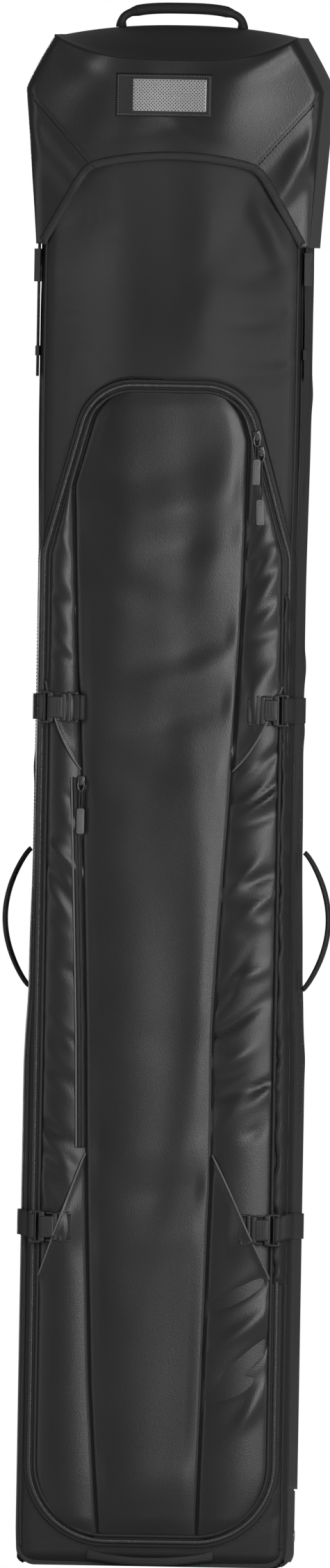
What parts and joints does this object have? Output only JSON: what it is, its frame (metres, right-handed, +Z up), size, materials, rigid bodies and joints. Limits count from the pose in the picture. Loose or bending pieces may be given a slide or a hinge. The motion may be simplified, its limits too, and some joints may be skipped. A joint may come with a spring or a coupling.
{
  "type": "wheeled ski and snowboard bag",
  "caption": "Tall padded roller bag for skis or a snowboard, with a telescoping hood, zipped lid, compression straps, handles and wheels in the base.",
  "frame": {"origin": "middle of the base tray's flat underside, between the bag's sides and between its front and back walls", "axes": "+Z up along the bag, -Y the front with the zipped lid, +X the right side seen from the front"},
  "size_m": [0.4, 0.2204, 1.9027],
  "materials": {
    "coated_fabric": "satin coated polyester",
    "body_fabric": "matt woven nylon",
    "webbing": "ribbed woven webbing",
    "grip_fabric": "rolled nylon sleeve",
    "zip_tape": "knitted tape with nylon coil",
    "buckle_plastic": "moulded acetal",
    "slider_metal": "gunmetal",
    "pull_plastic": "moulded tab on cord",
    "tray_plastic": "grained moulding",
    "hub_plastic": "moulded nylon",
    "tyre_rubber": "matt urethane",
    "steel": "zinc plated",
    "label_mesh": "mesh window"
  },
  "bodies": {
    "root": {"back_panel": "body_fabric", "back_stiffener": "tray_plastic", "base_board": "tray_plastic", "base_screws": "steel", "base_tray": "tray_plastic", "daisy_webbing": "webbing", "front_upper_panel": "body_fabric", "handle_patches": "webbing", "inner_collar": "body_fabric", "inner_strap_buckles": "buckle_plastic", "inner_straps": "webbing", "ladder_locks": "buckle_plastic", "lid_surround": "body_fabric", "main_zip_body_side": "zip_tape", "side_gusset_left": "body_fabric", "side_gusset_right": "body_fabric", "strap_keepers": "webbing", "wheel_axles": "steel", "wheel_housings": "tray_plastic", "zip_placket": "body_fabric"},
    "lid": {"lid_panel": "coated_fabric", "centre_panel": "coated_fabric", "wings_upper": "coated_fabric", "wings_lower": "coated_fabric", "main_zip_lid_side": "zip_tape", "pocket_zip_tape": "zip_tape", "buckle_plugs": "buckle_plastic"},
    "hood": {"hood_front": "coated_fabric", "hood_back": "coated_fabric", "hood_top": "coated_fabric", "hood_side_left": "coated_fabric", "hood_side_right": "coated_fabric", "hood_binding": "webbing", "label_frame": "coated_fabric", "label_window": "label_mesh", "hood_straps": "webbing"},
    "top_handle": {"top_handle": "webbing", "top_handle_grip": "grip_fabric"},
    "bottom_handle": {"bottom_handle": "webbing"},
    "side_handle_left": {"side_handle_left": "webbing"},
    "side_handle_right": {"side_handle_right": "webbing"},
    "wheel_left": {"tyre_left": "tyre_rubber", "hub_left": "hub_plastic"},
    "wheel_right": {"tyre_right": "tyre_rubber", "hub_right": "hub_plastic"},
    "main_slider_upper": {"main_slider_upper": "slider_metal"},
    "main_slider_lower": {"main_slider_lower": "slider_metal"},
    "pocket_slider": {"pocket_slider": "slider_metal"},
    "main_pull_upper": {"main_pull_upper": "pull_plastic"},
    "main_pull_lower": {"main_pull_lower": "pull_plastic"},
    "pocket_pull": {"pocket_pull": "pull_plastic"},
    "strap_upper_left": {"buckle_socket_upper_left": "buckle_plastic", "compression_strap_upper_left": "webbing"},
    "strap_upper_right": {"buckle_socket_upper_right": "buckle_plastic", "compression_strap_upper_right": "webbing"},
    "strap_lower_left": {"buckle_socket_lower_left": "buckle_plastic", "compression_strap_lower_left": "webbing"},
    "strap_lower_right": {"buckle_socket_lower_right": "buckle_plastic", "compression_strap_lower_right": "webbing"}
  },
  "joints": [
    {"name": "lid_hinge", "type": "hinge", "parent": "root", "child": "lid", "pos_m": [0, -0.107, 0.034], "axis": [1, 0, 0], "range_deg": [0, 90]},
    {"name": "hood_slide", "type": "slide", "parent": "root", "child": "hood", "axis": [0, 0, 1], "range_m": [0, 0.14]},
    {"name": "top_handle_swing", "type": "hinge", "parent": "hood", "child": "top_handle", "pos_m": [0, 0, 1.8815], "axis": [1, 0, 0], "range_deg": [-80, 80]},
    {"name": "bottom_handle_swing", "type": "hinge", "parent": "root", "child": "bottom_handle", "pos_m": [0, -0.1072, 0.0152], "axis": [-1, 0, 0], "range_deg": [0, 90]},
    {"name": "side_handle_left_swing", "type": "hinge", "parent": "root", "child": "side_handle_left", "pos_m": [-0.1663, 0, 0.7875], "axis": [0, 0, 1], "range_deg": [-70, 70]},
    {"name": "wheel_left_spin", "type": "hinge", "parent": "root", "child": "wheel_left", "pos_m": [-0.133, 0.068, 0.04], "axis": [1, 0, 0], "continuous": true},
    {"name": "side_handle_right_swing", "type": "hinge", "parent": "root", "child": "side_handle_right", "pos_m": [0.1663, 0, 0.7875], "axis": [0, 0, 1], "range_deg": [-70, 70]},
    {"name": "wheel_right_spin", "type": "hinge", "parent": "root", "child": "wheel_right", "pos_m": [0.133, 0.068, 0.04], "axis": [1, 0, 0], "continuous": true},
    {"name": "strap_upper_left_release", "type": "slide", "parent": "root", "child": "strap_upper_left", "axis": [-1, 0, 0], "range_m": [0, 0.025]},
    {"name": "strap_upper_right_release", "type": "slide", "parent": "root", "child": "strap_upper_right", "axis": [1, 0, 0], "range_m": [0, 0.025]},
    {"name": "strap_lower_left_release", "type": "slide", "parent": "root", "child": "strap_lower_left", "axis": [-1, 0, 0], "range_m": [0, 0.025]},
    {"name": "strap_lower_right_release", "type": "slide", "parent": "root", "child": "strap_lower_right", "axis": [1, 0, 0], "range_m": [0, 0.025]},
    {"name": "main_slider_upper_run", "type": "slide", "parent": "lid", "child": "main_slider_upper", "axis": [-0.2667, 0, 0.9638], "range_m": [0, 0.02]},
    {"name": "main_slider_lower_run", "type": "slide", "parent": "lid", "child": "main_slider_lower", "axis": [0.2667, 0, -0.9638], "range_m": [0, 0.1]},
    {"name": "pocket_slider_run", "type": "slide", "parent": "lid", "child": "pocket_slider", "axis": [0.0406, 0, -0.9992], "range_m": [0, 0.43]},
    {"name": "main_pull_upper_swing", "type": "hinge", "parent": "main_slider_upper", "child": "main_pull_upper", "pos_m": [0.10583, -0.1106, 1.378], "axis": [-1, 0, 0], "range_deg": [0, 150]},
    {"name": "main_pull_lower_swing", "type": "hinge", "parent": "main_slider_lower", "child": "main_pull_lower", "pos_m": [0.11558, -0.1106, 1.359], "axis": [-1, 0, 0], "range_deg": [0, 150]},
    {"name": "pocket_pull_swing", "type": "hinge", "parent": "pocket_slider", "child": "pocket_pull", "pos_m": [-0.09893, -0.1126, 0.954], "axis": [-1, 0, 0], "range_deg": [0, 150]}
  ]
}
